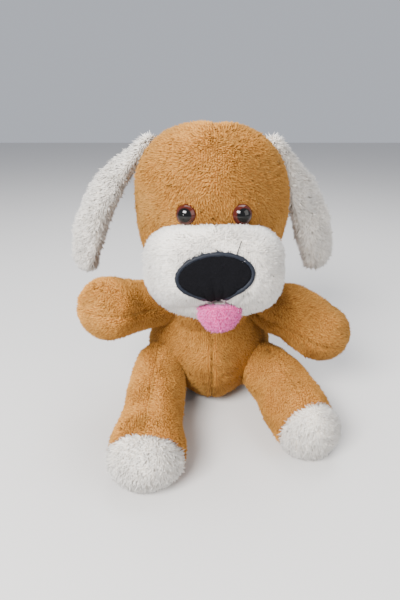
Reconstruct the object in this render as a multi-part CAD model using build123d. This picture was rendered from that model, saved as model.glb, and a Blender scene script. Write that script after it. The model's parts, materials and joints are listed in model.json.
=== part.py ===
"""Plush dog, sitting: a stuffed toy puppy of brown and cream plush, about 270 mm tall.

Frame, in millimetres: the origin is the middle of the flat seat under the body, +Z is up, the dog
faces -Y, and its own left side is +X. Every fabric cover is a closed shell of plush with its fibre
filling inside it as a separate solid. Sewn joints are ball or roll shaped where a limb meets the
body, with a small running gap, so that each limb can flop about its seam.
"""

import math
import os

from build123d import *

# ---- fabric, filling and gaps ----
PLUSH = 1.6  # backing cloth and the dense foot of the pile
FILL_GAP = 0.2  # between a cover and its filling
JOINT_GAP = 1.1  # between the head, the chest and the ears where they are sewn together
FILL_INSET = PLUSH + FILL_GAP
HALF_SPACE = 400.0

# ---- torso: a pear, the hull of a seat ball and a chest ball, flattened front to back ----
SEAT_BALL_R = 62.0
SEAT_BALL_Z = 48.0
CHEST_BALL_R = 34.0
CHEST_BALL_Z = 90.0
TORSO_DEPTH_SHARE = 0.76

# ---- neck: the chest's round top, with a firm wad inside that the head turns and nods on ----
NECK_PIVOT = (0.0, -10.0, 95.0)
NECK_TOP_R = 38.0
NECK_WAD_R = 22.0

# ---- head: an egg, tipped back so that the face looks up a little ----
HEAD_CENTRE = (0.0, -26.0, 193.0)
HEAD_TIP_BACK = 10.0
HEAD_R = 67.0
HEAD_WIDEST_Z = 12.0  # above the middle of the head
HEAD_TOP_Z = 76.0
HEAD_BOTTOM_Z = -76.0
HEAD_TOP_POWER = 2.4  # 2 is an ellipse, and more is squarer at the shoulders
HEAD_BOTTOM_POWER = 2.2
HEAD_PROFILE_STEPS = 7
FACE_SEAM_Y = 8.0  # the face panel meets the two back panels here, in the head's own frame

# ---- muzzle, lower jaw and tongue, in the head's own frame: y is minus the way forward ----
MUZZLE_SIZE = (103.0, 54.0, 57.0)
MUZZLE_AT = (0.0, -66.0, -36.5)
MUZZLE_ROUND = 23.0
JAW_SIZE = (84.0, 40.0, 15.0)
JAW_AT = (0.0, -56.0, -70.5)
JAW_ROUND = 7.0
LIP_GAP = 0.4
TONGUE_HINGE = (4.0, -80.0, -68.0)
TONGUE_WIDTH = 36.0
TONGUE_LENGTH = 19.0
TONGUE_THICK = 6.0
TONGUE_LEAN = 6.0  # degrees forward of the head's own upright

# ---- felt nose on the muzzle ----
NOSE_HALF_WIDTH = 28.5
NOSE_HALF_HEIGHT = 17.0
NOSE_ROLL = 6.0
NOSE_DROP = 3.8  # below the middle of the muzzle
FELT = 1.6
STITCH_WIDTH = 3.2
STITCH_PROUD = 0.8
NOSE_REACH = 20.0  # how far the rounded muzzle is searched for the nose, each way

# ---- safety eyes: a domed cap, a pupil disc, a ribbed shank and a lock washer ----
EYE_R = 8.0
EYE_DOME = 5.2
EYE_X = 21.3
EYE_Z = 0.6
PUPIL_R = 4.9
PUPIL_DEEP = 1.2
SHANK_R = 2.6
SHANK_LENGTH = 15.0
SHANK_RIBS = 4
WASHER_R = 8.0
WASHER_THICK = 1.8

# ---- ears: flat padded paddles ----
EAR_LENGTH = 124.0
EAR_END_R = 19.0
EAR_ROOT_R = 10.0
EAR_THICK = 11.0
EAR_EDGE_ROUND = 4.5
EAR_ROLL_R = 5.5
EAR_ROLL_LENGTH = 20.0
EARS = {  # turn is how far the ear's width is turned outwards from straight forward
    "left": {"root": (52.0, -14.0, 248.5), "tip": (96.0, 4.0, 131.0), "turn": 20.0},
    "right": {"root": (-54.0, -14.0, 250.0), "tip": (-119.0, -6.0, 130.0), "turn": 20.0},
}

# ---- arms and legs: clubs, each the hull of a root ball and an end ball ----
ARM_ROOT_R = 17.0
ARM_END_R = 25.0
ARM_GAP = 5.0  # between its round root and its hollow in the torso
ARMS = {
    "left": {"pivot": (49.0, -11.0, 97.0), "end": (104.0, -44.0, 81.0)},
    "right": {"pivot": (-49.0, -11.0, 97.0), "end": (-98.0, -60.0, 113.0)},
}
LEG_ROOT_R = 23.0
LEG_END_R = 28.0
LEG_GAP = 5.0
LEGS = {
    "left": {"pivot": (52.0, -29.0, 36.0), "end": (81.0, -110.0, 27.5)},
    "right": {"pivot": (-50.0, -31.0, 36.0), "end": (-56.0, -147.0, 27.5)},
}
TOE_SEAM_BACK = 6.0  # the toe cap starts this far behind the middle of the foot

# ---- tail ----
TAIL_PIVOT = (0.0, 48.5, 30.0)
TAIL_AIM = (0.0, 0.6, 0.8)
TAIL_ROOT_R = 7.0
TAIL_END_R = 9.5
TAIL_LENGTH = 27.0
TAIL_GAP = 4.0

nodes = {}


# ---- shared shapes ----
def half(side_x=0, side_y=0, side_z=0):
    """A very large box that fills one side of the plane through the origin."""
    move = Pos(side_x * HALF_SPACE, side_y * HALF_SPACE, side_z * HALF_SPACE)
    return move * Box(2 * HALF_SPACE, 2 * HALF_SPACE, 2 * HALF_SPACE)


def club(root_r, end_r, length):
    """The hull of two balls on the Z axis: the root ball at the origin, the end ball at length."""
    lean = math.asin((end_r - root_r) / length)

    def rim(centre_z, radius, angle):
        return (radius * math.cos(angle), 0, centre_z + radius * math.sin(angle))

    down, up = -math.pi / 2, math.pi / 2
    root_arc = ThreePointArc(
        rim(0, root_r, down), rim(0, root_r, (down - lean) / 2), rim(0, root_r, -lean)
    )
    side = Line(rim(0, root_r, -lean), rim(length, end_r, -lean))
    end_arc = ThreePointArc(
        rim(length, end_r, -lean), rim(length, end_r, (up - lean) / 2), rim(length, end_r, up)
    )
    axis_line = Line((0, 0, length + end_r), (0, 0, -root_r))
    profile = make_face(Wire([root_arc, side, end_arc, axis_line]))
    return revolve(profile, Axis.Z)


def aimed(pivot, end):
    """The place of a club whose root ball is at pivot and whose end ball is at end."""
    along = Vector(*end) - Vector(*pivot)
    upright = Vector(0, 0, 1)
    sideways = along.cross(upright)
    return Plane(origin=pivot, x_dir=sideways, z_dir=along).location, along.length


def ball(centre, radius):
    return Pos(*centre) * Sphere(radius)


def shell(build):
    """A cover: what build makes at full size, less what it makes inset by the plush."""
    return build(0) - build(PLUSH)


tip = math.radians(HEAD_TIP_BACK)
head_plane = Plane(
    origin=HEAD_CENTRE, x_dir=(1, 0, 0), z_dir=(0, math.sin(tip), math.cos(tip))
)
head_at = head_plane.location

# ---- tail ----
tail_at = Plane(origin=TAIL_PIVOT, x_dir=(1, 0, 0), z_dir=TAIL_AIM).location


def tail_solid(inset):
    return tail_at * club(TAIL_ROOT_R - inset, TAIL_END_R - inset, TAIL_LENGTH)


nodes["tail_cover"] = shell(tail_solid)
nodes["tail_filling"] = tail_solid(FILL_INSET)


# ---- torso, hollowed where the limbs, the head and the tail are sewn on ----
def torso_solid(inset):
    pear = club(
        CHEST_BALL_R - inset, SEAT_BALL_R - inset, CHEST_BALL_Z - SEAT_BALL_Z
    )
    pear = Pos(0, 0, CHEST_BALL_Z) * Rot(180, 0, 0) * pear
    pear = scale(pear, by=(1, TORSO_DEPTH_SHARE, 1))
    pear &= Pos(0, 0, inset) * half(side_z=1)
    pear += ball(NECK_PIVOT, NECK_TOP_R - inset)
    for limbs, hollow_r in ((ARMS, ARM_ROOT_R + ARM_GAP), (LEGS, LEG_ROOT_R + LEG_GAP)):
        for limb in limbs.values():
            pear -= ball(limb["pivot"], hollow_r + inset)
    return pear - ball(TAIL_PIVOT, TAIL_ROOT_R + TAIL_GAP + inset)


torso_cover = shell(torso_solid)
for front_name, side_y in (("front", -1), ("back", 1)):
    for side_name, side_x in (("left", 1), ("right", -1)):
        quarter = torso_cover & half(side_x=side_x) & half(side_y=side_y)
        largest = max(quarter.solids(), key=lambda solid: solid.volume)
        nodes[f"torso_{front_name}_{side_name}_panel"] = Part(children=[largest])
nodes["torso_filling"] = torso_solid(FILL_INSET) - ball(NECK_PIVOT, NECK_WAD_R + JOINT_GAP)
nodes["neck_wad"] = ball(NECK_PIVOT, NECK_WAD_R)


# ---- head ----
def ear_place(ear):
    """The ear's frame: X along its sewn edge, Z from the tip back up to the root."""
    up = (Vector(*ear["root"]) - Vector(*ear["tip"])).normalized()
    turn = math.radians(ear["turn"])
    side = math.copysign(1, ear["root"][0])
    width = Vector(side * math.sin(turn), -math.cos(turn), 0)
    width = (width - up * width.dot(up)).normalized()
    return Plane(origin=ear["root"], x_dir=width, z_dir=up).location


def ear_roll(radius, length):
    """The rolled edge that an ear swings on, along X."""
    return Rot(0, 90, 0) * Cylinder(radius, length)


def ear_solid(inset):
    """An ear hanging along -Z from its roll: a padded paddle, with its width along X."""
    end_rim = Pos(0, -(EAR_LENGTH - EAR_END_R)) * Circle(EAR_END_R - inset)
    root_rim = Pos(0, -EAR_ROOT_R) * Circle(EAR_ROOT_R - inset)
    outline = make_hull(end_rim.edges() + root_rim.edges())
    slab = extrude(Plane.XZ * outline, EAR_THICK / 2 - inset, both=True)
    slab = fillet(slab.edges(), EAR_EDGE_ROUND - inset)
    return slab + ear_roll(EAR_ROLL_R - inset, EAR_ROLL_LENGTH - 2 * inset)


def head_blob(inset):
    """The head as an egg, squarer above its widest place than below."""
    quarter_turn = math.pi / 2
    top_z = HEAD_TOP_Z - inset
    bottom_z = HEAD_BOTTOM_Z + inset
    points = []
    for step in range(-HEAD_PROFILE_STEPS, HEAD_PROFILE_STEPS + 1):
        angle = quarter_turn * step / HEAD_PROFILE_STEPS
        end_z = top_z if step > 0 else bottom_z
        power = HEAD_TOP_POWER if step > 0 else HEAD_BOTTOM_POWER
        out = abs(math.cos(angle)) ** (2 / power)
        along = abs(math.sin(angle)) ** (2 / power)
        height = HEAD_WIDEST_Z + (end_z - HEAD_WIDEST_Z) * along
        points.append(((HEAD_R - inset) * out, 0, height))
    points[0] = (0, 0, bottom_z)
    points[-1] = (0, 0, top_z)
    outline = Spline(*points, tangents=[(1, 0, 0), (-1, 0, 0)])
    profile = make_face(Wire([outline, Line(points[-1], points[0])]))
    return head_at * revolve(profile, Axis.Z)


def head_solid(inset):
    blob = head_blob(inset) - ball(NECK_PIVOT, NECK_TOP_R + JOINT_GAP + inset)
    for ear in EARS.values():
        blob -= ear_place(ear) * ear_solid(-JOINT_GAP - inset)
    return blob


head_cover = shell(head_solid)
eye_axes = {}
for side_name, side_x in (("left", 1), ("right", -1)):
    surface_y = -math.sqrt(HEAD_R**2 - EYE_X**2)
    outward = Vector(side_x * EYE_X, surface_y, 0)
    eye_axes[side_name] = head_at * Plane(
        origin=(side_x * EYE_X, surface_y, EYE_Z), x_dir=(0, 0, 1), z_dir=outward
    ).location
    head_cover -= eye_axes[side_name] * Cylinder(SHANK_R, 4 * PLUSH)

face_half = head_at * Pos(0, FACE_SEAM_Y, 0) * half(side_y=-1)
back_half = head_at * Pos(0, FACE_SEAM_Y, 0) * half(side_y=1)
nodes["head_face_panel"] = head_cover & face_half
nodes["head_back_left_panel"] = head_cover & back_half & half(side_x=1)
nodes["head_back_right_panel"] = head_cover & back_half & half(side_x=-1)


# ---- muzzle and jaw ----
def rounded_box(size, at, radius, inset):
    sides = [length - 2 * inset for length in size]
    box = Box(*sides)
    return head_at * Pos(*at) * fillet(box.edges(), radius - inset)


def muzzle_solid(inset):
    muzzle = rounded_box(MUZZLE_SIZE, MUZZLE_AT, MUZZLE_ROUND, inset) - head_blob(-inset)
    for place in eye_axes.values():
        muzzle -= place * Cylinder(EYE_R + FILL_GAP + inset, 4 * EYE_DOME)
    return muzzle


def jaw_solid(inset):
    jaw = rounded_box(JAW_SIZE, JAW_AT, JAW_ROUND, inset)
    jaw -= rounded_box(MUZZLE_SIZE, MUZZLE_AT, MUZZLE_ROUND, -LIP_GAP - inset)
    return jaw - head_blob(-inset)


nodes["muzzle_cover"] = shell(muzzle_solid)
nodes["muzzle_filling"] = muzzle_solid(FILL_INSET)
nodes["lower_jaw_cover"] = shell(jaw_solid)
nodes["lower_jaw_filling"] = jaw_solid(FILL_INSET)


# ---- nose: an oval felt patch with a drawn-down tip, edged with a satin stitch ----
def nose_sketch(grow):
    """The nose's outline in its own plane, grown outwards by grow."""
    wide, high = NOSE_HALF_WIDTH + grow, NOSE_HALF_HEIGHT + grow
    oval = Ellipse(wide, high)
    tip_width = 0.45 * wide
    shoulder_y = -0.75 * high
    corners = (-tip_width, shoulder_y), (0, -1.3 * high), (tip_width, shoulder_y)
    return oval + Polygon(*corners, align=None)


def over_muzzle(thickness, outline):
    """A layer of that thickness lying on the muzzle, within an outline in the nose's plane."""
    layer = rounded_box(MUZZLE_SIZE, MUZZLE_AT, MUZZLE_ROUND, -thickness)
    layer -= rounded_box(MUZZLE_SIZE, MUZZLE_AT, MUZZLE_ROUND, 0)
    return layer & (nose_at * extrude(outline, NOSE_REACH, both=True))


muzzle_front_y = MUZZLE_AT[1] - MUZZLE_SIZE[1] / 2
nose_middle = (0, muzzle_front_y, MUZZLE_AT[2] - NOSE_DROP)
nose_plane = Plane(origin=nose_middle, x_dir=(1, 0, 0), z_dir=(0, -1, 0))
nose_at = head_at * nose_plane.location * Rot(0, 0, NOSE_ROLL)
felt_outline = nose_sketch(-STITCH_WIDTH)
nodes["nose_patch"] = over_muzzle(FELT, felt_outline)
nodes["nose_stitching"] = over_muzzle(FELT + STITCH_PROUD, nose_sketch(0) - felt_outline)


# ---- eyes ----
def eye_pieces():
    """The four pieces of one safety eye: its base is the plane z = 0 and it looks along +Z."""
    dome_ball_r = (EYE_R**2 + EYE_DOME**2) / (2 * EYE_DOME)
    dome = Pos(0, 0, EYE_DOME - dome_ball_r) * Sphere(dome_ball_r)
    dome &= half(side_z=1)
    pupil = Cylinder(PUPIL_R, PUPIL_DEEP, align=(Align.CENTER, Align.CENTER, Align.MIN))
    shank = Cylinder(SHANK_R - 0.4, SHANK_LENGTH, align=(Align.CENTER, Align.CENTER, Align.MAX))
    rib_pitch = SHANK_LENGTH / (SHANK_RIBS + 1)
    for rib in range(SHANK_RIBS):
        shank += Pos(0, 0, -(rib + 1) * rib_pitch) * Cylinder(SHANK_R - 0.05, 1.0)
    washer = Cylinder(WASHER_R, WASHER_THICK) - Cylinder(SHANK_R, 2 * WASHER_THICK)
    washer = Pos(0, 0, -PLUSH - FILL_GAP - 1.5 - WASHER_THICK / 2) * washer
    return {"cap": dome - pupil, "pupil": pupil, "shank": shank, "washer": washer}


head_filling = head_solid(FILL_INSET)
for side_name, place in eye_axes.items():
    for piece_name, piece in eye_pieces().items():
        nodes[f"{side_name}_eye_{piece_name}"] = place * piece
    washer_room = Cylinder(WASHER_R + 0.3, 8.0, align=(Align.CENTER, Align.CENTER, Align.MAX))
    shank_room = Cylinder(SHANK_R, SHANK_LENGTH + 0.5, align=(Align.CENTER, Align.CENTER, Align.MAX))
    head_filling -= place * washer_room
    head_filling -= place * shank_room
nodes["head_filling"] = head_filling


# ---- tongue ----
def tongue_solid(inset, lower, upper):
    """The tongue between two heights through its thickness, hanging along -Z from its rolled edge."""
    wide = TONGUE_WIDTH / 2 - inset
    tip_z = -(TONGUE_LENGTH - TONGUE_WIDTH / 2)
    below = Pos(0, -TONGUE_LENGTH) * Rectangle(2 * TONGUE_LENGTH, 2 * TONGUE_LENGTH)
    outline = Pos(0, tip_z) * Circle(wide) + Pos(0, tip_z / 2) * Rectangle(2 * wide, -tip_z)
    blade = Plane.XZ * (outline & below)
    return Pos(0, -lower, 0) * extrude(blade, upper - lower)


tongue_at = head_at * Pos(*TONGUE_HINGE) * Rot(-TONGUE_LEAN, 0, 0)
tongue_roll = Rot(0, 90, 0) * Cylinder(TONGUE_THICK / 2, TONGUE_WIDTH - 4)
tongue_top = tongue_solid(0, 0, TONGUE_THICK / 2)
tongue_lining = tongue_solid(0, -TONGUE_THICK / 2, 0)
front_roll = tongue_roll & half(side_y=-1)
back_roll = tongue_roll & half(side_y=1)
nodes["tongue_top"] = tongue_at * (tongue_top + front_roll)
nodes["tongue_lining"] = tongue_at * (tongue_lining + back_roll)


# ---- ears ----
for side_name, ear in EARS.items():
    place = ear_place(ear)
    cover = shell(ear_solid)
    outer_side = math.copysign(1, ear["root"][0])
    nodes[f"{side_name}_ear_outer_panel"] = place * (cover & half(side_y=-outer_side))
    nodes[f"{side_name}_ear_inner_panel"] = place * (cover & half(side_y=outer_side))
    nodes[f"{side_name}_ear_wadding"] = place * ear_solid(FILL_INSET)

# ---- arms ----
for side_name, arm in ARMS.items():
    place, length = aimed(arm["pivot"], arm["end"])

    def arm_solid(inset, length=length):
        return club(ARM_ROOT_R - inset, ARM_END_R - inset, length)

    cover = shell(arm_solid)
    nodes[f"{side_name}_arm_upper_panel"] = place * (cover & half(side_y=1))
    nodes[f"{side_name}_arm_lower_panel"] = place * (cover & half(side_y=-1))
    nodes[f"{side_name}_arm_filling"] = place * arm_solid(FILL_INSET)

# ---- legs ----
for side_name, leg in LEGS.items():
    place, length = aimed(leg["pivot"], leg["end"])

    def leg_solid(inset, place=place, length=length):
        whole = place * club(LEG_ROOT_R - inset, LEG_END_R - inset, length)
        return whole & (Pos(0, 0, inset) * half(side_z=1))

    cover = shell(leg_solid)
    toe_side = place * Pos(0, 0, length - TOE_SEAM_BACK) * half(side_z=1)
    shin_side = place * Pos(0, 0, length - TOE_SEAM_BACK) * half(side_z=-1)
    nodes[f"{side_name}_toe_cap"] = cover & toe_side
    nodes[f"{side_name}_leg_outer_panel"] = cover & shin_side & (place * half(side_x=1))
    nodes[f"{side_name}_leg_inner_panel"] = cover & shin_side & (place * half(side_x=-1))
    nodes[f"{side_name}_leg_filling"] = leg_solid(FILL_INSET)

# ---- write one STEP for each node ----
os.makedirs("parts", exist_ok=True)
for name, shape in nodes.items():
    solids = shape.solids()
    whole = solids[0] if len(solids) == 1 else Part(children=solids)
    export_step(whole, f"parts/{name}.step")
print("nodes", len(nodes))
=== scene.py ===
import json
import math

import bpy
import numpy as np
from mathutils import Matrix, Vector
from mathutils.bvhtree import BVHTree


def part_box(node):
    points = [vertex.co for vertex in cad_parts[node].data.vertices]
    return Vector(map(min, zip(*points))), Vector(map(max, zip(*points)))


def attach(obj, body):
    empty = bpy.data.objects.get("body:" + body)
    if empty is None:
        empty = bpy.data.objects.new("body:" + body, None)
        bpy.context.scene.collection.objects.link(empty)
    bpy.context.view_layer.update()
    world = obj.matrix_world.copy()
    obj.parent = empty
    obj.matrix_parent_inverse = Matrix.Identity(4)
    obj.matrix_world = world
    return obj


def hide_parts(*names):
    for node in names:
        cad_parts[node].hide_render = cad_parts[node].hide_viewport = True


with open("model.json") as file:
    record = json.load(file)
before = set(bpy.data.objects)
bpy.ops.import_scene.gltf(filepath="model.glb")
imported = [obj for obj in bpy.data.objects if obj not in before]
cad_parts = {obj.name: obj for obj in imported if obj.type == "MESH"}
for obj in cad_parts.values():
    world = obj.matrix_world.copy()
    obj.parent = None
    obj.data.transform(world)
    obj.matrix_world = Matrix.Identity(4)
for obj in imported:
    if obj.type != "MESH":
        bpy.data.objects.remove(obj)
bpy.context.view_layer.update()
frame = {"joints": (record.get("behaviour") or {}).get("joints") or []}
joints = {joint["name"]: joint for joint in frame["joints"]}

# ---- Room, camera and light ----
# A plain pale floor, a large soft window-like light from the front left, a fill and a weak back light.
# The camera looks down a little at the sitting dog.
CAMERA_AT = Vector((-0.0105, -0.421, 0.283))
CAMERA_DIP = math.radians(24.0)

bpy.ops.mesh.primitive_plane_add(size=6.0, location=(0, 0, -0.0004))
floor = bpy.context.object
floor.name = "floor"
floor_finish = bpy.data.materials.new("pale floor")
floor_finish.use_nodes = True
floor_finish.node_tree.nodes["Principled BSDF"].inputs["Base Color"].default_value = (0.62, 0.61, 0.6, 1)
floor_finish.node_tree.nodes["Principled BSDF"].inputs["Roughness"].default_value = 0.7
floor.data.materials.append(floor_finish)

lens = bpy.data.cameras.new("camera")
lens.lens = 27.0
lens.sensor_width = 36.0
camera = bpy.data.objects.new("camera", lens)
camera.location = CAMERA_AT
camera.rotation_euler = (math.pi / 2 - CAMERA_DIP, 0, 0)
bpy.context.scene.collection.objects.link(camera)
bpy.context.scene.camera = camera

world = bpy.data.worlds.new("studio")
world.use_nodes = True
world.node_tree.nodes["Background"].inputs["Color"].default_value = (0.86, 0.9, 1.0, 1)
world.node_tree.nodes["Background"].inputs["Strength"].default_value = 0.6
bpy.context.scene.world = world

SUBJECT = Vector((0, -0.05, 0.13))


def softbox(name, place, width, height, watts, colour):
    light = bpy.data.lights.new(name, "AREA")
    light.shape = "RECTANGLE"
    light.size = width
    light.size_y = height
    light.energy = watts
    light.color = colour
    lamp = bpy.data.objects.new(name, light)
    lamp.location = place
    lamp.rotation_euler = (SUBJECT - Vector(place)).to_track_quat("-Z", "Y").to_euler()
    bpy.context.scene.collection.objects.link(lamp)


softbox("window", (-0.55, -1.0, 0.95), 0.7, 0.45, 60.0, (1.0, 0.98, 0.95))
softbox("fill", (1.1, -0.7, 0.7), 1.0, 1.0, 10.0, (1.0, 0.96, 0.9))
softbox("top", (0.1, 0.35, 1.1), 0.8, 0.8, 12.0, (0.95, 0.97, 1.0))


# ---- Head: three panels of brown plush, stuffed ----
# An egg, squarer above than below, tipped back a little. The face panel meets the two back panels in a
# seam over the crown and down behind the ears, and the back panels meet in a seam down the middle.
def only(piece):
    """Makes piece the only thing selected, and active."""
    bpy.ops.object.select_all(action="DESELECT")
    piece.select_set(True)
    bpy.context.view_layer.objects.active = piece


def added(name):
    """The primitive that was just added, with its place and size put into its mesh."""
    piece = bpy.context.object
    piece.name = name
    bpy.ops.object.transform_apply(location=True, rotation=True, scale=True)
    return piece


def ball(name, centre, radii, segments=48, rings=28):
    bpy.ops.object.select_all(action="DESELECT")
    bpy.ops.mesh.primitive_uv_sphere_add(segments=segments, ring_count=rings, radius=1, location=centre)
    bpy.context.object.scale = (radii,) * 3 if isinstance(radii, float) else radii
    return added(name)


def joined(name, *pieces):
    bpy.ops.object.select_all(action="DESELECT")
    for piece in pieces:
        piece.select_set(True)
    bpy.context.view_layer.objects.active = pieces[0]
    bpy.ops.object.join()
    pieces[0].name = name
    return pieces[0]


def stretched_over(name, *balls):
    """Cloth pulled tight over a row of balls: the hull of all of them."""
    piece = joined(name, *balls)
    bpy.ops.object.mode_set(mode="EDIT")
    bpy.ops.mesh.select_all(action="SELECT")
    bpy.ops.mesh.convex_hull()
    bpy.ops.object.mode_set(mode="OBJECT")
    return piece


def remeshed(piece, cell, rounding):
    """One even skin of square faces, its inner corners softened by rounding passes."""
    only(piece)
    remesh = piece.modifiers.new("skin", "REMESH")
    remesh.mode = "VOXEL"
    remesh.voxel_size = cell
    bpy.ops.object.modifier_apply(modifier=remesh.name)
    if rounding:
        smooth = piece.modifiers.new("ease", "SMOOTH")
        smooth.factor = 0.5
        smooth.iterations = rounding
        bpy.ops.object.modifier_apply(modifier=smooth.name)
    return piece


def points_of(piece):
    flat = np.empty(len(piece.data.vertices) * 3, np.float32)
    piece.data.vertices.foreach_get("co", flat)
    return flat.reshape(-1, 3).astype(float)


def normals_of(piece):
    flat = np.empty(len(piece.data.vertices) * 3, np.float32)
    piece.data.vertex_normals.foreach_get("vector", flat)
    return flat.reshape(-1, 3).astype(float)


def put_points(piece, points):
    piece.data.vertices.foreach_set("co", points.astype(np.float32).ravel())
    piece.data.update()


def push_out(piece, amount_at):
    """Moves every point along its normal by amount_at(points), in metres."""
    points = points_of(piece)
    put_points(piece, points + normals_of(piece) * amount_at(points)[:, None])


def lumps(points, size, seed):
    """A smooth random field from -1 to 1 with lumps about size across."""
    dice = np.random.default_rng(seed)
    total = np.zeros(len(points))
    for _ in range(7):
        way = dice.normal(size=3)
        way *= math.pi / (size * np.linalg.norm(way)) * dice.uniform(0.6, 1.3)
        total += np.sin(points @ way + dice.uniform(0, 2 * math.pi))
    return total / 3.2


def groove(distance, width):
    """1 on a seam and fading to 0 at about twice width from it."""
    return np.exp(-((distance / width) ** 2))


class Wired:
    """A socket that takes part in sums written as Python expressions."""

    def __init__(self, look, socket):
        self.look = look
        self.socket = socket

    def maths(self, operation, *values):
        return self.look.node("ShaderNodeMath", {"operation": operation}, *values)

    def __add__(self, other):
        return self.maths("ADD", self, other)

    def __sub__(self, other):
        return self.maths("SUBTRACT", self, other)

    def __rsub__(self, other):
        return self.maths("SUBTRACT", other, self)

    def __mul__(self, other):
        return self.maths("MULTIPLY", self, other)

    def __pow__(self, other):
        return self.maths("POWER", self, other)

    __radd__ = __add__
    __rmul__ = __mul__


class Look:
    """One material and the nodes that are wired into it."""

    def __init__(self, name):
        self.material = bpy.data.materials.new(name)
        self.material.use_nodes = True
        self.tree = self.material.node_tree
        self.shader = self.tree.nodes["Principled BSDF"]

    def node(self, kind, settings, *values, out=0, **named):
        made = self.tree.nodes.new(kind)
        for name, value in settings.items():
            setattr(made, name, value)
        for slot, value in enumerate(values):
            self.join(value, made.inputs[slot])
        for name, value in named.items():
            self.join(value, made.inputs[name.replace("_", " ")])
        return Wired(self, made.outputs[out])

    def join(self, value, socket):
        if isinstance(value, Wired):
            self.tree.links.new(value.socket, socket)
        else:
            socket.default_value = value

    def attribute(self, name):
        return self.node("ShaderNodeAttribute", {"attribute_name": name}, out=2)

    def place(self):
        return self.node("ShaderNodeTexCoord", {}, out=3)

    def noise(self, scale, detail=3.0):
        return self.node("ShaderNodeTexNoise", {}, Vector=self.place(), Scale=scale, Detail=detail)

    def blend(self, share, first, second):
        """A colour share of the way from first to second."""
        mix = self.tree.nodes.new("ShaderNodeMix")
        mix.data_type = "RGBA"
        sockets = {socket.identifier: socket for socket in mix.inputs}
        self.join(share, sockets["Factor_Float"])
        self.join(first, sockets["A_Color"])
        self.join(second, sockets["B_Color"])
        results = {socket.identifier: socket for socket in mix.outputs}
        return Wired(self, results["Result_Color"])

    def set(self, **values):
        for name, value in values.items():
            self.join(value, self.shader.inputs[name.replace("_", " ")])
        return self.material


def plush_look(name, root, body, tip, patch, sheen, patch_size=55.0):
    """Pile with painted shade that darkens it towards the root and a painted highlight that pales it at the
    tip, and painted shade in soft patches where the nap lies another way.
    """
    look = Look(name)
    height = look.attribute("pile_height")
    strand = look.attribute("pile_shade")
    drift = look.noise(patch_size)
    # Painted shade: the colour darkens from the body colour to the root colour down in the pile.
    lower = look.blend(height**0.8, root, body)
    # Painted highlight: the colour pales to the tip colour at the tips of the tufts.
    upper = look.blend((height**2.2) * (0.35 + strand * 0.65), lower, tip)
    # Painted shade: soft darker patches of the patch colour where the nap lies another way.
    colour = look.blend((1 - drift) * 0.45 * (0.5 + strand), upper, patch)
    look.set(Base_Color=colour, Roughness=0.82)
    look.shader.inputs["Sheen Weight"].default_value = sheen
    look.shader.inputs["Sheen Roughness"].default_value = 0.45
    look.shader.inputs["Sheen Tint"].default_value = tip
    look.shader.inputs["Specular IOR Level"].default_value = 0.18
    return look.material


# The root colour is painted shade deep in the pile, the tip colour a painted highlight, and the patch colour
# painted shade where the nap lies another way.
BROWN = plush_look(
    "brown short pile",
    root=(0.12, 0.036, 0.005, 1),
    body=(0.43, 0.175, 0.027, 1),
    tip=(0.84, 0.47, 0.12, 1),
    patch=(0.30, 0.105, 0.015, 1),
    sheen=0.12,
)


def bench_cut(piece, place, facing):
    """Cuts piece on a plane and keeps what lies behind the way it faces."""
    only(piece)
    bpy.ops.object.mode_set(mode="EDIT")
    bpy.ops.mesh.select_all(action="SELECT")
    bpy.ops.mesh.bisect(plane_co=place, plane_no=facing, clear_outer=True)
    bpy.ops.object.mode_set(mode="OBJECT")


def copied(piece, name):
    twin = piece.copy()
    twin.data = piece.data.copy()
    twin.name = name
    bpy.context.scene.collection.objects.link(twin)
    return twin


def lined(piece, thickness):
    """Gives an open piece of cloth its thickness, inwards, and returns how many faces are outside."""
    outside = len(piece.data.polygons)
    only(piece)
    solid = piece.modifiers.new("cloth", "SOLIDIFY")
    solid.thickness = thickness
    solid.offset = -1
    solid.use_rim = True
    bpy.ops.object.modifier_apply(modifier=solid.name)
    return outside


def flattened_map(piece):
    """The piece's own map, laid out before the pile is raised so that every tuft has its place on it."""
    only(piece)
    piece.data.uv_layers.new(name="OFBake")
    bpy.ops.object.mode_set(mode="EDIT")
    bpy.ops.mesh.select_all(action="SELECT")
    bpy.ops.uv.smart_project(angle_limit=math.radians(70), island_margin=0.002)
    bpy.ops.object.mode_set(mode="OBJECT")


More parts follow.
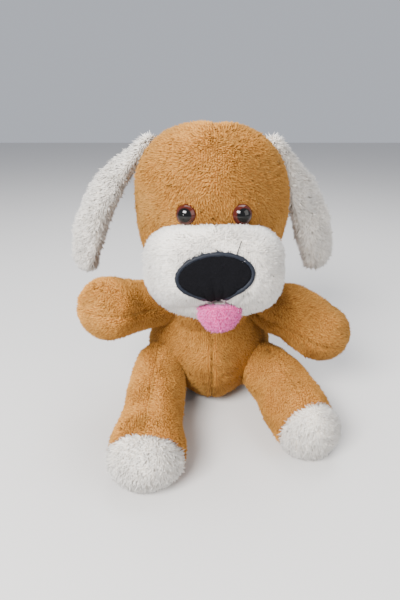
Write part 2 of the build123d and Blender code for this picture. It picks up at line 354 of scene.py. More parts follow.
def raise_pile(piece, outside, length, nap, lean, seed, curl=0.25, cell=0.0018, bare=None):
    """Raises a tuft on each outside face: its middle point is drawn out along the nap."""
    dice = np.random.default_rng(seed)
    mesh = piece.data
    base_count = len(mesh.vertices)
    chosen = np.zeros(len(mesh.polygons), bool)
    chosen[:outside] = True
    only(piece)
    bpy.ops.object.mode_set(mode="EDIT")
    bpy.ops.mesh.select_mode(type="FACE")
    bpy.ops.mesh.select_all(action="DESELECT")
    bpy.ops.object.mode_set(mode="OBJECT")
    mesh.polygons.foreach_set("select", chosen)
    bpy.ops.object.mode_set(mode="EDIT")
    bpy.ops.mesh.quads_convert_to_tris(quad_method="SHORTEST_DIAGONAL")
    bpy.ops.mesh.poke()
    bpy.ops.object.mode_set(mode="OBJECT")
    points = points_of(piece)
    normals = normals_of(piece)
    tips = np.arange(base_count, len(points))
    out = normals[tips]
    across = nap(points[tips]) if callable(nap) else np.tile(np.array(nap, float), (len(tips), 1))
    across = across - out * np.sum(across * out, axis=1)[:, None]
    across /= np.maximum(np.linalg.norm(across, axis=1), 1e-6)[:, None]
    side = np.cross(out, across)
    turn = lumps(points[tips], 0.018, seed + 1) * 0.7 + dice.normal(0, curl, len(tips))
    way = across * np.cos(turn)[:, None] + side * np.sin(turn)[:, None]
    tilt = lean + dice.normal(0, 0.18, len(tips))
    reach = length * (1 + 0.18 * lumps(points[tips], 0.007, seed + 2) + dice.normal(0, 0.16, len(tips)))
    if bare is not None:
        reach = reach * (1 - bare(points[tips]))
    points[tips] += reach[:, None] * (out * np.cos(tilt)[:, None] + way * np.sin(tilt)[:, None])
    scatter = dice.normal(0, cell * 0.16, (base_count, 3))
    inner = normals[:base_count]
    scatter -= inner * np.sum(scatter * inner, axis=1)[:, None]
    points[:base_count] += scatter
    put_points(piece, points)
    height = np.zeros(len(points), np.float32)
    height[base_count:] = 1
    shade = dice.uniform(0, 1, len(points)).astype(np.float32)
    for name, values in (("pile_height", height), ("pile_shade", shade)):
        mesh.attributes.new(name, "FLOAT", "POINT").data.foreach_set("value", values)
    only(piece)
    bpy.ops.object.shade_smooth()


CLOTH = 0.0011


def sewn_panel(form, name, nodes, body, slot, look, cuts, fill=0.8, **pile):
    """One panel of a stuffed cover: a copy of the form, cut on its seams, lined, and raised."""
    panel = copied(form, name)
    for place, facing in cuts:
        bench_cut(panel, place, facing)
    outside = lined(panel, CLOTH)
    flattened_map(panel)
    raise_pile(panel, outside, **pile)
    panel.data.materials.clear()
    panel.data.materials.append(look)
    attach(panel, body)
    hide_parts(*nodes)
    return panel


FIBRE = Look("white polyester fibre")
fluff = FIBRE.noise(900.0, 6.0)
FIBRE.set(
    Base_Color=FIBRE.blend(fluff, (0.66, 0.66, 0.64, 1), (0.9, 0.9, 0.88, 1)),
    Roughness=0.95,
    Normal=FIBRE.node("ShaderNodeBump", {}, Strength=0.7, Distance=0.002, Height=fluff),
)


def fibre_filling(form, name, node, body, seed, depth=0.0032, cell=0.004):
    """The loose fibre inside a cover: the cover's form drawn in and left lumpy."""
    filling = copied(form, name)
    remeshed(filling, cell, 4)
    push_out(filling, lambda points: -depth + 0.0009 * lumps(points, 0.009, seed))
    filling.data.materials.clear()
    filling.data.materials.append(FIBRE.material)
    only(filling)
    bpy.ops.object.shade_smooth()
    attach(filling, body)
    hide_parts(node)
    return filling


HEAD_TIP = math.radians(10.0)
HEAD_AT = Vector((0, -0.026, 0.193))
HEAD_R = 0.0642
HEAD_WIDEST = 0.012
HEAD_TOP = 0.0722
HEAD_BOTTOM = -0.0755
HEAD_PLACE = Matrix.Translation(HEAD_AT) @ Matrix.Rotation(-HEAD_TIP, 4, "X")
CELL = 0.0018


def on_head(x, y, z):
    return HEAD_PLACE @ Vector((x, y, z))


def in_head(points):
    back = np.array(HEAD_PLACE.inverted())
    return points @ back[:3, :3].T + back[:3, 3]


def head_way(x, y, z):
    return (HEAD_PLACE.to_3x3() @ Vector((x, y, z))).normalized()


head_form = ball("head_form", (0, 0, 0), 1.0, 96, 56)
points = points_of(head_form)
flat = np.hypot(points[:, 0], points[:, 1])
power = np.where(points[:, 2] > 0, 2.25, 2.2)
wide = HEAD_R * flat ** (2 / power)
tall = np.abs(points[:, 2]) ** (2 / power)
tall = HEAD_WIDEST + np.where(points[:, 2] > 0, HEAD_TOP - HEAD_WIDEST, HEAD_BOTTOM - HEAD_WIDEST) * tall
ring = np.maximum(flat, 1e-9)
egg = np.stack([points[:, 0] / ring * wide - 0.0012, points[:, 1] / ring * wide, tall], 1)
put_points(head_form, egg)
head_form.data.transform(HEAD_PLACE)
remeshed(head_form, CELL, 2)

FACE_SEAM_Y = 0.008
CROWN_DART = 0.030
DART_X = 0.002
EYE_X, EYE_Z = 0.0213, 0.0006
BROWN_PILE = 0.0034


def head_shape(points):
    """Sunk seams, the short dart before the crown, the swell behind the eyes, and soft lumps."""
    local = in_head(points)
    seam = groove(local[:, 1] - FACE_SEAM_Y, 0.0022) * 0.0016
    back = groove(local[:, 0], 0.0022) * (local[:, 1] > FACE_SEAM_Y) * 0.0018
    dart_run = np.clip((local[:, 1] + CROWN_DART) / 0.012, 0, 1) * (local[:, 2] > 0.05)
    dart = groove(local[:, 0] - DART_X, 0.0018) * dart_run * (local[:, 1] <= FACE_SEAM_Y) * 0.0026
    dent = groove(local[:, 0] - DART_X, 0.012) * dart_run * 0.0012
    off_eye = np.hypot(np.abs(local[:, 0]) - EYE_X, local[:, 2] - EYE_Z)
    brow = groove(off_eye, 0.011) * (local[:, 1] < 0) * 0.0019
    return brow - seam - back - dart - dent + 0.0011 * lumps(points, 0.034, 4)


push_out(head_form, head_shape)


def head_nap(points):
    """The nap is brushed down and outwards from the crown."""
    local = in_head(points)
    fan = np.stack([local[:, 0] * 0.9, -np.abs(local[:, 1]) * 0.2, -0.045 - 0 * local[:, 0]], 1)
    return fan @ np.array(HEAD_PLACE.to_3x3()).T


seam_at = on_head(0, FACE_SEAM_Y, 0)
front_facing, back_facing = head_way(0, -1, 0), head_way(0, 1, 0)
for name, cuts, seed in (
    ("head_face_panel", [(seam_at, back_facing)], 11),
    ("head_back_left_panel", [(seam_at, front_facing), (seam_at, (-1, 0, 0))], 12),
    ("head_back_right_panel", [(seam_at, front_facing), (seam_at, (1, 0, 0))], 13),
):
    sewn_panel(
        head_form, name + "_plush", [name], "head", "brown_plush", BROWN,
        cuts, length=BROWN_PILE, nap=head_nap, lean=0.75, seed=seed,
    )
fibre_filling(head_form, "head_fibre", "head_filling", "head", 14)
bpy.data.objects.remove(head_form)

# ---- Neck: a firm wad of fibre under the head ----
# It is rolled tight and tied inside the chest, and the head turns and nods on it.
wad_low, wad_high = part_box("neck_wad")
wad = ball("neck_fibre", (wad_low + wad_high) / 2, (wad_high.x - wad_low.x) / 2)
remeshed(wad, 0.003, 2)
push_out(wad, lambda points: -0.0008 + 0.0006 * lumps(points, 0.008, 21))
wad.data.materials.append(FIBRE.material)
only(wad)
bpy.ops.object.shade_smooth()
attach(wad, "neck")
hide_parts("neck_wad")

# ---- Torso: a pear of four brown panels, stuffed, with a flat seat ----
# Seams run down the front, down the back and down both sides.
neck_at = Vector(joints["head_turn"]["pos_m"])
torso_form = stretched_over(
    "torso_form",
    ball("seat_ball", (0, 0, 0.0475), (0.0625, 0.047, 0.0475), 64, 36),
    ball("belly_ball", (0, -0.021, 0.044), (0.036, 0.042, 0.041), 64, 36),
    ball("chest_ball", (0, -0.001, 0.088), (0.041, 0.030, 0.036), 64, 36),
)
neck_ball = ball("neck_ball", neck_at, 0.0365, 64, 36)
torso_form = joined("torso_form", torso_form, neck_ball)
remeshed(torso_form, CELL, 14)


def torso_shape(points):
    seam = groove(points[:, 0] - 0.001, 0.002) * 0.0021
    sides = groove(points[:, 1], 0.002) * 0.0013
    fold = groove(points[:, 2] - 0.108 - 0.12 * np.abs(points[:, 0]), 0.003) * (points[:, 1] < 0.01) * 0.0016
    return -seam - sides - fold + 0.0013 * lumps(points, 0.03, 31)


def sit_flat(piece):
    """Presses the underside of a form flat, a pile's thickness above the table."""
    points = points_of(piece)
    points[:, 2] = np.maximum(points[:, 2], 0.0016)
    put_points(piece, points)


def flat_under(points):
    """How far the pile is crushed on the underside."""
    return np.clip((0.006 - points[:, 2]) / 0.004, 0, 0.85)


push_out(torso_form, torso_shape)
sit_flat(torso_form)


def torso_nap(points):
    """Brushed down on the chest and sideways off the middle of the belly."""
    down = np.clip((0.062 - points[:, 2]) / 0.02, -1, 1)
    return np.stack([points[:, 0] * 8, 0 * down, -1.0 + 0.9 * np.maximum(down, 0)], 1)


for front, front_cut, shift in (("front", (0, 1, 0), 0), ("back", (0, -1, 0), 1)):
    for side, side_cut, seed in (("left", (-1, 0, 0), 32), ("right", (1, 0, 0), 34)):
        name = f"torso_{front}_{side}_panel"
        sewn_panel(
            torso_form, name + "_plush", [name], "torso", "brown_plush", BROWN,
            [((0.001, 0, 0.05), side_cut), ((0, 0, 0.05), front_cut)],
            length=BROWN_PILE, nap=torso_nap, lean=0.8, seed=seed + shift, bare=flat_under,
        )
fibre_filling(torso_form, "torso_fibre", "torso_filling", "torso", 36)
bpy.data.objects.remove(torso_form)

# ---- Legs: two clubs of brown plush with a long-piled white toe cap ----
# Each has an outer and an inner panel seamed along the top and the underside, and the cap is sewn
# across the end of the foot with its seam arched over the instep.
# The root colour is painted shade deep in the pile, the tip colour a painted highlight, and the patch colour
# painted shade where the nap lies another way.
WHITE_LONG = plush_look(
    "white long pile",
    root=(0.42, 0.36, 0.29, 1),
    body=(0.8, 0.765, 0.71, 1),
    tip=(0.97, 0.96, 0.94, 1),
    patch=(0.74, 0.69, 0.62, 1),
    sheen=0.3,
)
CAP_BACK = -0.004
CAP_PILE = 0.0043
FOOT_Z = 0.0258
FOOT_WIDE = {"left": 0.0258, "right": 0.0285}
FOOT_SHIFT = {"left": (-0.001, 0.0035, -0.0005), "right": (0.0028, 0.003, -0.0005)}
KNEE_R = {"left": 0.0268, "right": 0.0245}
KNEE_SHIFT = {"left": (0.005, 0, 0.001), "right": (0, 0, 0)}


def limb_frame(pivot, end):
    """The ways along a limb, level across it, and up from it."""
    along = (end - pivot).normalized()
    level = Vector((along.y, -along.x, 0)).normalized()
    return along, level, level.cross(along)


for side, cap_seed in (("left", 41), ("right", 45)):
    pivot = Vector(joints[f"{side}_leg_swing"]["pos_m"])
    cap_low, cap_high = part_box(f"{side}_toe_cap")
    foot_r = (cap_high.x - cap_low.x) / 2
    foot_wide = FOOT_WIDE[side]
    foot = Vector(((cap_low.x + cap_high.x) / 2, cap_low.y + foot_r, FOOT_Z))
    foot = foot + Vector(FOOT_SHIFT[side])
    along, level, _ = limb_frame(pivot, foot)
    knee = pivot + along * 0.032 + Vector(KNEE_SHIFT[side])
    leg_form = stretched_over(
        "leg_form",
        ball("hip_ball", pivot, 0.0232),
        ball("knee_ball", knee, KNEE_R[side]),
        ball("heel_ball", foot + along * -0.006, (foot_wide * 0.98, 0.0255, 0.0252), 48, 28),
        ball("toe_ball", foot + along * 0.004, (foot_wide, 0.0215, 0.0245), 48, 28),
    )
    remeshed(leg_form, CELL, 4)
    centre, ahead, sideways = np.array(foot), np.array(along), np.array(level)

    def leg_shape(points, centre=centre, ahead=ahead, sideways=sideways, seed=cap_seed):
        offset = points - centre
        run = offset @ ahead
        cap_seam = groove(run + CAP_BACK, 0.0018) * 0.0017
        top_seam = groove(offset @ sideways, 0.0018) * (run < -CAP_BACK) * 0.0013
        ankle = groove(run + 0.045, 0.016) * 0.0016
        return -cap_seam - top_seam - ankle + 0.0013 * lumps(points, 0.026, seed)

    push_out(leg_form, leg_shape)
    sit_flat(leg_form)
    cap_at = foot - along * CAP_BACK
    out_way = level if (level.x > 0) == (side == "left") else -level
    sewn_panel(
        leg_form, f"{side}_toe_cap_plush", [f"{side}_toe_cap"], f"{side}_leg",
        "white_long_plush", WHITE_LONG, [(cap_at, -along)], length=CAP_PILE,
        nap=tuple(along * 0.4 + Vector((0, 0, -1))), lean=0.65, seed=cap_seed, curl=0.8, bare=flat_under,
    )
    for panel, facing, shift in (("outer", -out_way, 1), ("inner", out_way, 2)):
        name = f"{side}_leg_{panel}_panel"
        sewn_panel(
            leg_form, name + "_plush", [name], f"{side}_leg", "brown_plush", BROWN,
            [(cap_at, along), (foot, facing)], length=BROWN_PILE, nap=tuple(along), lean=0.8,
            seed=cap_seed + shift, bare=flat_under,
        )
    fibre_filling(leg_form, f"{side}_leg_fibre", f"{side}_leg_filling", f"{side}_leg", cap_seed + 3)
    bpy.data.objects.remove(leg_form)

# ---- Arms: two mittens of brown plush, each of an upper and a lower panel ----
# The seam runs round the edge of the mitten and shows as a pinched line on the paw.
PAW_R = 0.0235
for side, seed in (("left", 51), ("right", 55)):
    pivot = Vector(joints[f"{side}_arm_swing"]["pos_m"])
    low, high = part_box(f"{side}_arm_filling")
    out_x = high.x - PAW_R if side == "left" else low.x + PAW_R
    end_z = low.z + PAW_R if side == "left" else high.z - PAW_R
    paw = Vector((out_x, low.y + PAW_R, end_z))
    along, level, upward = limb_frame(pivot, paw)
    wide_paw = (0.0255, 0.0245, 0.0268) if side == "right" else (0.0245, 0.0235, 0.0245)
    elbow = pivot + along * 0.032 + Vector((0, 0, 0 if side == "right" else 0.009))
    elbow_r = 0.0205 if side == "right" else 0.0232
    if side == "right":
        paw += Vector((0.006, 0, 0.002))
    arm_form = stretched_over(
        "arm_form",
        ball("shoulder_ball", pivot - along * 0.003, 0.0175),
        ball("elbow_ball", elbow, elbow_r),
        ball("paw_ball", paw, wide_paw, 48, 28),
    )
    remeshed(arm_form, CELL, 4)
    centre, across = np.array(paw), np.array(upward)

    def arm_shape(points, centre=centre, across=across, seed=seed):
        seam = groove((points - centre) @ across, 0.0018) * 0.0017
        return -seam + 0.0012 * lumps(points, 0.022, seed)

    push_out(arm_form, arm_shape)
    for panel, facing, shift in (("upper", -upward, 1), ("lower", upward, 2)):
        name = f"{side}_arm_{panel}_panel"
        sewn_panel(
            arm_form, name + "_plush", [name], f"{side}_arm", "brown_plush", BROWN,
            [(paw, facing)], length=BROWN_PILE, nap=tuple(along), lean=0.75, seed=seed + shift,
        )
    fibre_filling(arm_form, f"{side}_arm_fibre", f"{side}_arm_filling", f"{side}_arm", seed + 3)
    bpy.data.objects.remove(arm_form)

# ---- Tail: a short brown stub, sewn into the back seam ----
tail_at = Vector(joints["tail_wag"]["pos_m"])
low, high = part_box("tail_cover")
tail_tip = Vector((0, high.y - 0.0095, high.z - 0.0095))
tail_form = stretched_over(
    "tail_form", ball("tail_root", tail_at, 0.0075), ball("tail_end", tail_tip, 0.0088)
)
remeshed(tail_form, 0.0016, 2)
sewn_panel(
    tail_form, "tail_cover_plush", ["tail_cover"], "tail", "brown_plush", BROWN, [],
    length=0.0036, nap=(0, 0.5, 0.8), lean=0.7, seed=61,
)
fibre_filling(tail_form, "tail_fibre", "tail_filling", "tail", 62, cell=0.0022)
bpy.data.objects.remove(tail_form)

# ---- Ears: flat paddles of long white plush, thinly padded ----
# An outer and an inner panel are sewn together round the edge and caught in the head's seam.
# How far each paddle bows out, kicks out at its tip and sweeps forward, how far it is twisted and widened,
# and where its straight tip lies.
EAR_SHAPES = {
    "left": {"bow": 0.010, "kick": 0.020, "sweep": -0.010, "twist": -62.0, "wide": 1.38},
    "right": {"bow": 0.014, "kick": 0.008, "sweep": 0.002, "twist": -62.0, "wide": 1.0},
}
EAR_TIPS = {"left": Vector((0.096, 0.004, 0.131)), "right": Vector((-0.119, -0.006, 0.130))}
EAR_HANG = 0.128
EAR_PILE = 0.0052


def hung(piece, shape, place):
    """Bows, widens and twists a straight ear so that its outer face turns forward, and hangs it."""
    points = points_of(piece)
    run = np.clip(-points[:, 2] / EAR_HANG, 0, 1.1)
    turn = math.radians(shape["twist"]) * np.clip(run * 2.6, 0, 1)
    x, y = points[:, 0] * (1 + (shape["wide"] - 1) * run), points[:, 1]
    bow = shape["bow"] * np.sin(np.clip(run, 0, 1) * math.pi) + shape["kick"] * run
    points[:, 0] = x * np.cos(turn) - y * np.sin(turn) + shape["sweep"] * np.sin(run * 2)
    points[:, 1] = x * np.sin(turn) + y * np.cos(turn) + bow
    put_points(piece, points)
    piece.data.transform(place)
    piece.data.update()


for side, seed in (("left", 71), ("right", 75)):
    shape = EAR_SHAPES[side]
    joint = joints[f"{side}_ear_flap"]
    root = Vector(joint["pos_m"])
    width_way = Vector(joint["axis"]).normalized()
    out = 1 if side == "left" else -1
    up_way = (root - EAR_TIPS[side]).normalized()
    flat_way = width_way.cross(up_way).normalized()
    if flat_way.x * out < 0:
        flat_way = -flat_way
    place = Matrix((width_way, flat_way, up_way)).transposed().to_4x4()
    ear_form = stretched_over(
        "ear_form",
        ball("ear_root", (0, 0, -0.004), (0.010, 0.0050, 0.009), 40, 24),
        ball("ear_upper", (0, 0, -0.036), (0.0140, 0.0066, 0.014), 40, 24),
        ball("ear_lower", (0, 0, -0.096), (0.0185, 0.0080, 0.020), 40, 24),
        ball("ear_end", (0, 0, -0.118), (0.0165, 0.0072, 0.0175), 40, 24),
    )
    remeshed(ear_form, CELL, 3)
    push_out(ear_form, lambda points, seed=seed: 0.0010 * lumps(points, 0.02, seed))
    hang = Matrix.Translation(root) @ place
    for panel, facing, shift in (("outer", (0, -1, 0), 1), ("inner", (0, 1, 0), 2)):
        name = f"{side}_ear_{panel}_panel"
        made = sewn_panel(
            ear_form, name + "_plush", [name], f"{side}_ear", "white_long_plush", WHITE_LONG,
            [((0, 0, 0), facing)], length=EAR_PILE, nap=(0, 0, -1), lean=0.7, seed=seed + shift,
            fill=0.3, curl=0.5,
        )
        hung(made, shape, hang)
    wadding = fibre_filling(
        ear_form, f"{side}_ear_fibre", f"{side}_ear_wadding", f"{side}_ear", seed + 3, 0.0022, 0.0026
    )
    hung(wadding, shape, hang)
    bpy.data.objects.remove(ear_form)

# ---- Muzzle: a rounded box of short white plush, stuffed, sewn to the face ----
# Its top edge lies straight under the eyes, and its lower lip edge is gathered under the nose.
# The root colour is painted shade deep in the pile, the tip colour a painted highlight, and the patch colour
# painted shade where the nap lies another way.
WHITE_SHORT = plush_look(
    "white short pile",
    root=(0.55, 0.49, 0.42, 1),
    body=(0.84, 0.81, 0.765, 1),
    tip=(0.97, 0.965, 0.95, 1),
    patch=(0.8, 0.76, 0.71, 1),
    sheen=0.3,
)
MUZZLE_AT = (0.0, -0.0638, -0.0370)
MUZZLE_SIZE = (0.0965, 0.0555, 0.0535)
LIP_NOTCH_X = 0.003
MUZZLE_PILE = 0.0029
MUZZLE_CELL = 0.0015


def pillow(name, at, size, roundness, bulge):
    """A bevelled box whose faces swell between their edges, in the head's own place."""
    bpy.ops.object.select_all(action="DESELECT")
    bpy.ops.mesh.primitive_cube_add(size=1, location=(0, 0, 0))
    bpy.context.object.scale = size
    box = added(name)
    bpy.ops.object.mode_set(mode="EDIT")
    bpy.ops.mesh.select_all(action="SELECT")
    bpy.ops.mesh.bevel(offset=roundness, segments=7, affect="EDGES")
    bpy.ops.object.mode_set(mode="OBJECT")
    remeshed(box, MUZZLE_CELL, 3)
    points = points_of(box)
    share = points / (np.array(size) / 2)
    edge = 1 - np.clip(np.abs(share), 0, 1) ** 2.4
    swell = np.stack([np.prod(np.delete(edge, axis, 1), axis=1) for axis in range(3)], 1)
    put_points(box, points + np.sign(share) * np.abs(share) ** 2 * swell * bulge)
    box.data.transform(HEAD_PLACE @ Matrix.Translation(at))
    return box


muzzle_form = pillow("muzzle_form", MUZZLE_AT, MUZZLE_SIZE, 0.017, 0.002)
points = points_of(muzzle_form)
local = in_head(points)
low_share = np.clip((-local[:, 2] - 0.042) / 0.022, 0, 1)
cheek = np.where(local[:, 0] > 0, 0.0048, 0.0028) * groove(np.abs(local[:, 0]) - 0.034, 0.016)
drop = low_share * (0.0035 * groove(local[:, 0] - LIP_NOTCH_X, 0.011) - cheek)
put_points(muzzle_form, points + drop[:, None] * np.array(head_way(0, 0, 1)))


def muzzle_shape(points):
    """Puckers fan out from the notch in the lip, and the lip's edge is drawn up there."""
    local = in_head(points)
    x, z = local[:, 0] - LIP_NOTCH_X, local[:, 2] + 0.062
    near = np.exp(-np.hypot(x, z) / 0.016) * (local[:, 1] < -0.066)
    fan = np.cos(np.arctan2(x, z + 0.02) * 26)
    crease = groove(local[:, 1] + 0.058, 0.003) * 0.001
    return near * (-0.0020 + 0.0010 * fan) - crease + 0.0009 * lumps(points, 0.024, 81)


push_out(muzzle_form, muzzle_shape)


def muzzle_nap(points):
    """Brushed outwards from the middle, and down."""
    local = in_head(points)
    fan = np.stack([local[:, 0], 0 * local[:, 0], local[:, 2] + 0.03], 1)
    fan[:, 2] -= 0.03
    return fan @ np.array(HEAD_PLACE.to_3x3()).T


def under_nose(points):
    """The pile lies crushed flat under the felt nose."""
    local = in_head(points)
    oval = (local[:, 0] / 0.0262) ** 2 + ((local[:, 2] + 0.041) / 0.0152) ** 2
    return np.clip((1.25 - oval) / 0.2, 0, 1) * (local[:, 1] < -0.07)


sewn_panel(
    muzzle_form, "muzzle_cover_plush", ["muzzle_cover"], "head", "white_short_plush", WHITE_SHORT, [],
    length=MUZZLE_PILE, nap=muzzle_nap, lean=0.72, seed=82, cell=MUZZLE_CELL, bare=under_nose,
)
fibre_filling(muzzle_form, "muzzle_fibre", "muzzle_filling", "head", 83)

# ---- Lower jaw: a thinner pad of the same plush, under the muzzle ----
jaw_form = pillow("jaw_form", (0, -0.054, -0.0688), (0.080, 0.042, 0.0155), 0.007, 0.0015)
points = points_of(jaw_form)
local = in_head(points)
lift = 0.010 * np.clip(np.abs(local[:, 0]) / 0.042, 0, 1) ** 2.2
put_points(jaw_form, points + lift[:, None] * np.array(head_way(0, 0, 1)))
sewn_panel(
    jaw_form, "lower_jaw_cover_plush", ["lower_jaw_cover"], "head", "white_short_plush", WHITE_SHORT, [],
    length=MUZZLE_PILE, nap=muzzle_nap, lean=0.72, seed=85, cell=MUZZLE_CELL,
)
fibre_filling(jaw_form, "lower_jaw_fibre", "lower_jaw_filling", "head", 86, 0.0025, 0.003)
bpy.data.objects.remove(jaw_form)

# ---- Tongue: a tab of pink curly terry with a plain lining, caught in the mouth ----
# It swings on the sewn edge behind the lip.
# The root colour is painted shade deep in the pile, the tip colour a painted highlight, and the patch colour
# painted shade where the nap lies another way.
PINK = plush_look(
    "pink terry",
    root=(0.42, 0.015, 0.12, 1),
    body=(0.78, 0.12, 0.40, 1),
    tip=(0.93, 0.38, 0.70, 1),
    patch=(0.62, 0.05, 0.26, 1),
    sheen=0.3,
    patch_size=160.0,
)
TONGUE_CELL = 0.0014
tongue_at = in_head(np.array([joints["tongue_flap"]["pos_m"]]))[0]
tongue_form = ball("tongue_form", (0, 0, 0), (0.0172, 0.0032, 0.0176), 56, 32)
bench_cut(tongue_form, (0, 0, 0.0015), (0, 0, 1))
points = points_of(tongue_form)
points[:, 1] += 0.9 * points[:, 0] ** 2 / 0.06 - 0.10 * points[:, 2]
put_points(tongue_form, points)
only(tongue_form)
bpy.ops.object.mode_set(mode="EDIT")
bpy.ops.mesh.select_all(action="SELECT")
bpy.ops.mesh.fill_holes(sides=0)
bpy.ops.object.mode_set(mode="OBJECT")
tongue_form.data.transform(HEAD_PLACE @ Matrix.Translation(tongue_at))
remeshed(tongue_form, TONGUE_CELL, 1)
tongue_middle = on_head(*tongue_at)
for panel, facing, seed in (("top", back_facing, 91), ("lining", front_facing, 92)):
    sewn_panel(
        tongue_form, f"tongue_{panel}_terry", [f"tongue_{panel}"], "tongue", "pink_plush", PINK,
        [(tongue_middle, facing)], length=0.0026, nap=(0, 0, -1), lean=0.5, seed=seed,
        fill=0.2, curl=1.6, cell=TONGUE_CELL,
    )
bpy.data.objects.remove(tongue_form)

# ---- Nose: an oval of black felt edged with a satin stitch in navy thread ----
# It lies on the muzzle with its drawn-down tip at the lip. The top edge is frayed, with one loose thread.
NOSE_WIDE = 0.0268
NOSE_HIGH = 0.0154
NOSE_ROLL = math.radians(6.0)
NOSE_MIDDLE = (0, -0.0403)
forward = head_way(0, -1, 0)
muzzle_points = [vertex.co.copy() for vertex in muzzle_form.data.vertices]
muzzle_faces = [tuple(face.vertices) for face in muzzle_form.data.polygons]
muzzle_surface = BVHTree.FromPolygons(muzzle_points, muzzle_faces)


def on_muzzle(across, up, lift):
    """A point lying lift above the muzzle, given in the nose's own plane."""
    turned_x = across * math.cos(NOSE_ROLL) - up * math.sin(NOSE_ROLL) + NOSE_MIDDLE[0]
    turned_z = across * math.sin(NOSE_ROLL) + up * math.cos(NOSE_ROLL) + NOSE_MIDDLE[1]
    start = on_head(turned_x, -0.2, turned_z)
    hit, normal, _, _ = muzzle_surface.ray_cast(start, -forward)
    return hit + (normal * 0.4 + forward * 0.6) * lift


def nose_rim(angle, grow):
    """The nose's outline: an oval drawn down to a blunt tip."""
    across = (NOSE_WIDE + grow) * math.cos(angle)
    up = (NOSE_HIGH + grow) * math.sin(angle)
    tip = math.exp(-((angle % (2 * math.pi) - 1.5 * math.pi) / 0.40) ** 2)
    return across, up - 0.0050 * tip


bpy.ops.object.select_all(action="DESELECT")
bpy.ops.mesh.primitive_circle_add(vertices=120, radius=1, fill_type="TRIFAN")
felt = added("nose_felt")
bpy.ops.object.mode_set(mode="EDIT")
bpy.ops.mesh.select_all(action="SELECT")
bpy.ops.mesh.subdivide(number_cuts=7)
bpy.ops.object.mode_set(mode="OBJECT")
for vertex in felt.data.vertices:
    angle, out = math.atan2(vertex.co.y, vertex.co.x), math.hypot(vertex.co.x, vertex.co.y)
    across, up = nose_rim(angle, -0.0005)
    vertex.co = on_muzzle(across * out, up * out, 0.0008)
only(felt)
solid = felt.modifiers.new("felt", "SOLIDIFY")
solid.thickness = 0.0017
solid.offset = 1
bpy.ops.object.modifier_apply(modifier=solid.name)
push_out(felt, lambda points: 0.00016 * lumps(points, 0.0016, 101) + 0.0002 * lumps(points, 0.006, 102))
flattened_map(felt)
bpy.ops.object.shade_smooth()
FELT = Look("black felt")
nap = FELT.noise(1400.0, 5.0)
FELT.set(
    Base_Color=FELT.blend(nap, (0.0006, 0.0006, 0.0008, 1), (0.006, 0.006, 0.008, 1)),
    Roughness=0.95,
    Normal=FELT.node("ShaderNodeBump", {}, Strength=0.6, Distance=0.0006, Height=nap),
)
FELT.shader.inputs["Specular IOR Level"].default_value = 0.08
felt.data.materials.append(FELT.material)
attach(felt, "head")
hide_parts("nose_patch")

STITCHES = 132
RING_R = 0.25
bpy.ops.object.select_all(action="DESELECT")
bpy.ops.mesh.primitive_torus_add(
    major_segments=STITCHES * 4, minor_segments=12, major_radius=1, minor_radius=RING_R
)
satin = added("nose_satin_stitch")
dice = np.random.default_rng(103)
pull = dice.normal(0, 0.09, STITCHES + 1)
for vertex in satin.data.vertices:
    angle = math.atan2(vertex.co.y, vertex.co.x)
    side = (math.hypot(vertex.co.x, vertex.co.y) - 1) / RING_R
    rise = vertex.co.z / RING_R
    turn = (angle % (2 * math.pi)) / (2 * math.pi) * STITCHES
    ridge = 0.8 + 0.2 * abs(math.sin(math.pi * turn)) ** 0.6
    half_width = 0.00155 * (1 + pull[int(turn)])
    across, up = nose_rim(angle, side * half_width)
    vertex.co = on_muzzle(across, up, 0.0018 + rise * 0.0015 * ridge)
bpy.ops.object.shade_smooth()


def thread(name, points, thickness):
    """A loose end of thread lying through a few points."""
    bpy.ops.object.select_all(action="DESELECT")
    bpy.ops.curve.primitive_bezier_curve_add(location=(0, 0, 0))
    curve = bpy.context.object
    spline = curve.data.splines[0]
    spline.bezier_points.add(len(points) - 2)
    for knot, point in zip(spline.bezier_points, points):
        knot.co = point
        knot.handle_left_type = knot.handle_right_type = "AUTO"
    curve.data.bevel_depth = thickness
    curve.data.bevel_resolution = 1
    curve.data.resolution_u = 5
    curve.data.use_fill_caps = True
    bpy.ops.object.convert(target="MESH")
    return added(name)


LOOSE_THREAD = (
    (0.0165, 0.0135, 0.0012),
    (0.0178, 0.0165, 0.0034),
    (0.0192, 0.0188, 0.0026),
    (0.0206, 0.0215, 0.0042),
)
loose = [thread("loose", [on_muzzle(*spot) for spot in LOOSE_THREAD], 0.00032)]
for spot, count in ((-0.019, 5), (-0.0145, 4), (-0.0075, 6), (0.0045, 8), (0.012, 3)):
    for _ in range(count):
        start = spot + dice.normal(0, 0.0011)
        top = NOSE_HIGH * math.sqrt(1 - (start / NOSE_WIDE) ** 2) + 0.0006
        lean, reach = dice.normal(0, 0.0009), dice.uniform(0.0012, 0.0026)
        loose.append(thread("fray", [
            on_muzzle(start, top, 0.0014),
            on_muzzle(start + lean * 0.4, top + reach * 0.6, 0.0024),
            on_muzzle(start + lean, top + reach, 0.0022),
        ], 0.00022))
satin = joined("nose_satin_stitch", satin, *loose)
flattened_map(satin)
NAVY = Look("navy thread")
twist = NAVY.noise(2600.0, 2.0)
NAVY.shader.inputs["Specular IOR Level"].default_value = 0.25
NAVY.set(
    Base_Color=NAVY.blend(twist, (0.0008, 0.0016, 0.004, 1), (0.005, 0.009, 0.02, 1)),
    Roughness=0.55,
    Normal=NAVY.node("ShaderNodeBump", {}, Strength=0.3, Distance=0.0003, Height=twist),
)
satin.data.materials.clear()
satin.data.materials.append(NAVY.material)
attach(satin, "head")
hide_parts("nose_stitching")
bpy.data.objects.remove(muzzle_form)

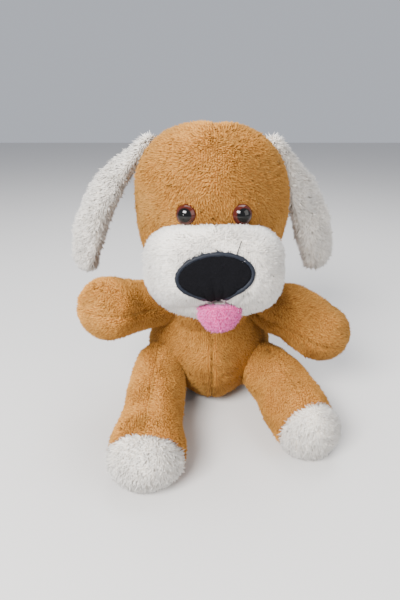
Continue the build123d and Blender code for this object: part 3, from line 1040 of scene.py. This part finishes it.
# ---- Eyes: domed caps of dark red-brown plastic with a black pupil, on ribbed shanks ----
# Each shank passes through the face and is held by a washer inside the head.
PUPIL_R = 0.0052


def middle(node):
    """The middle of a solid's box."""
    low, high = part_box(node)
    return (low + high) / 2


for side in ("left", "right"):
    cap_middle, shank_middle = middle(f"{side}_eye_cap"), middle(f"{side}_eye_shank")
    looking = (cap_middle - shank_middle).normalized()
    amber = Look(f"{side} eye plastic")
    away = amber.node("ShaderNodeVectorMath", {"operation": "SUBTRACT"}, amber.place(), tuple(cap_middle))
    along = amber.node("ShaderNodeVectorMath", {"operation": "DOT_PRODUCT"}, away, tuple(looking), out=1)
    far = amber.node("ShaderNodeVectorMath", {"operation": "LENGTH"}, away, out=1)
    off_axis = (far * far - along * along) ** 0.5
    inner, outer = PUPIL_R - 0.0003, PUPIL_R + 0.0005
    rim = amber.node("ShaderNodeMapRange", {"clamp": True}, off_axis, inner, outer, 0.0, 1.0)
    cloud = amber.noise(300.0)
    brown = amber.blend(cloud, (0.022, 0.003, 0.0015, 1), (0.075, 0.011, 0.005, 1))
    amber.set(Base_Color=amber.blend(rim, (0.002, 0.002, 0.002, 1), brown), Roughness=0.06)
    amber.shader.inputs["Coat Weight"].default_value = 0.15
    amber.shader.inputs["Specular IOR Level"].default_value = 0.3
    cap = bpy.data.objects[f"{side}_eye_cap"]
    cap.data.materials.clear()
    cap.data.materials.append(amber.material)
    for part, colour, rough in (
        ("pupil", (0.003, 0.003, 0.003, 1), 0.1),
        ("shank", (0.7, 0.7, 0.68, 1), 0.4),
        ("washer", (0.74, 0.74, 0.72, 1), 0.4),
    ):
        plastic = Look(f"{side} eye {part} plastic")
        grain = plastic.noise(800.0)
        darker = tuple(channel * 0.8 for channel in colour[:3]) + (1,)
        plastic.set(
            Base_Color=plastic.blend(grain, darker, colour), Roughness=0.05 + rough * (0.9 + grain * 0.2)
        )
        piece = bpy.data.objects[f"{side}_eye_{part}"]
        piece.data.materials.clear()
        piece.data.materials.append(plastic.material)
